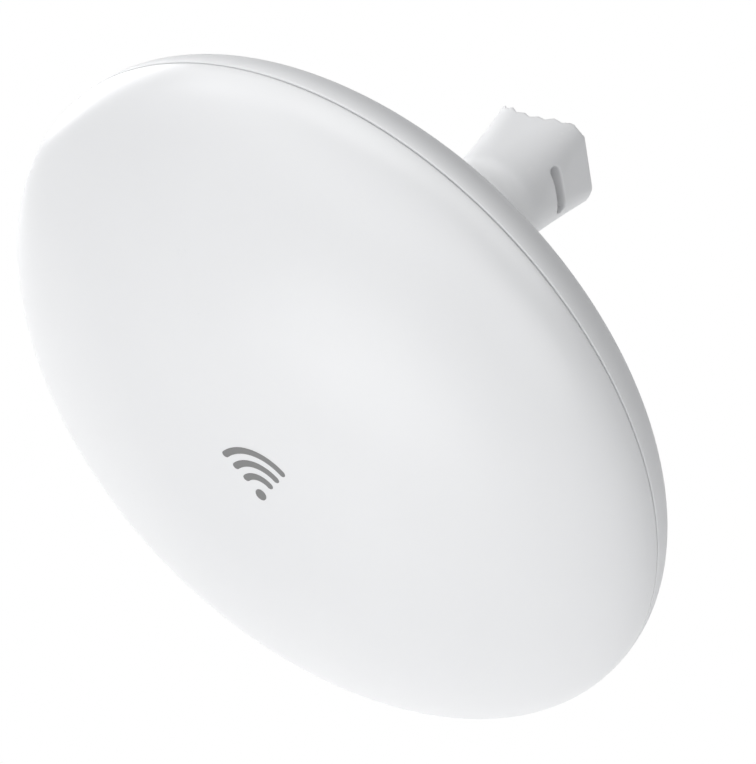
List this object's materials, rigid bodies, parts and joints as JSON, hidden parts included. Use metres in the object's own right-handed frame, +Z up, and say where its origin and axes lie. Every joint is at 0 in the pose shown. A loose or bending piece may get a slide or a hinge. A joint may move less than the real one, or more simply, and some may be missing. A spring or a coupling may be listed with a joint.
{
  "type": "outdoor wireless bridge",
  "caption": "Round outdoor wireless bridge: domed radome and bowl-shaped rear shell around a reflector and radio, aimed on a pole by a clamped ball joint.",
  "frame": {"origin": "on the pole mount's saddle, where the axis of its neck meets the pole", "axes": "front along -Y, +Z up along the pole, +X right seen from the front"},
  "size_m": [0.189, 0.1281, 0.189],
  "materials": {
    "radome_plastic": "satin white weatherproof moulding",
    "shell_plastic": "satin white weatherproof moulding, fine texture",
    "mount_plastic": "satin white glass-filled nylon",
    "joint_plastic": "satin white glass-filled nylon",
    "seat_plastic": "plain low-friction plastic",
    "seal_rubber": "matte black silicone",
    "label_film": "silver-grey film, blank",
    "spun_aluminium": "spun, fine circular marks",
    "feed_metal": "plain drawn tube",
    "feed_plastic": "natural plastic",
    "circuit_board": "green solder mask",
    "screw_steel": "zinc-plated",
    "jack_metal": "tinned sheet",
    "contact_gold": "gold flash",
    "chip_black": "moulded black",
    "button_grey": "moulded grey",
    "clear_plastic": "clear moulding"
  },
  "bodies": {
    "pole_mount": {"pole_mount": "mount_plastic"},
    "pan_seat": {"ball_seat": "seat_plastic"},
    "tilt_ring": {"clamp_ring": "seat_plastic"},
    "antenna": {"front_radome": "radome_plastic", "rim_seal": "seal_rubber", "rear_shell": "shell_plastic", "rating_label": "label_film", "reflector": "spun_aluminium", "feed_tube": "feed_metal", "feed_cone": "feed_plastic", "subreflector": "spun_aluminium", "main_board": "circuit_board", "board_screws": "screw_steel", "network_jack": "jack_metal", "jack_contacts": "contact_gold", "radio_shield": "jack_metal", "radio_chips": "chip_black", "network_transformer": "chip_black", "reset_switch": "chip_black", "light_chips": "feed_plastic", "light_pipes": "clear_plastic", "ball_socket": "joint_plastic", "socket_screws": "screw_steel"},
    "nut_washer": {"thrust_washer": "screw_steel"},
    "lock_nut": {"lock_nut": "joint_plastic"},
    "port_cover": {"port_cover": "shell_plastic"},
    "reset_button": {"reset_button": "button_grey"}
  },
  "joints": [
    {"name": "pan", "type": "hinge", "parent": "pole_mount", "child": "pan_seat", "pos_m": [0, -0.045, 0], "axis": [0, 0, 1], "range_deg": [-15, 15]},
    {"name": "tilt", "type": "hinge", "parent": "pan_seat", "child": "tilt_ring", "pos_m": [0, -0.045, 0], "axis": [1, 0, 0], "range_deg": [-15, 15]},
    {"name": "roll", "type": "hinge", "parent": "tilt_ring", "child": "antenna", "pos_m": [0, -0.045, 0], "axis": [0, 1, 0], "continuous": true},
    {"name": "nut_turn", "type": "hinge", "parent": "nut_washer", "child": "lock_nut", "pos_m": [0, -0.045, 0], "axis": [0, 1, 0], "range_deg": [0, 360]},
    {"name": "nut_travel", "type": "slide", "parent": "antenna", "child": "nut_washer", "axis": [0, 1, 0], "range_m": [0, 0.003]},
    {"name": "cover_slide", "type": "slide", "parent": "antenna", "child": "port_cover", "axis": [0, 0, -1], "range_m": [0, 0.03]},
    {"name": "reset_press", "type": "slide", "parent": "antenna", "child": "reset_button", "axis": [0, 0, 1], "range_m": [0, 0.0006], "stiffness_N_per_m": 1500}
  ],
  "couplings": [
    {"joint": "nut_travel", "follows": "nut_turn", "m_per_rad": 0.00047746}
  ]
}
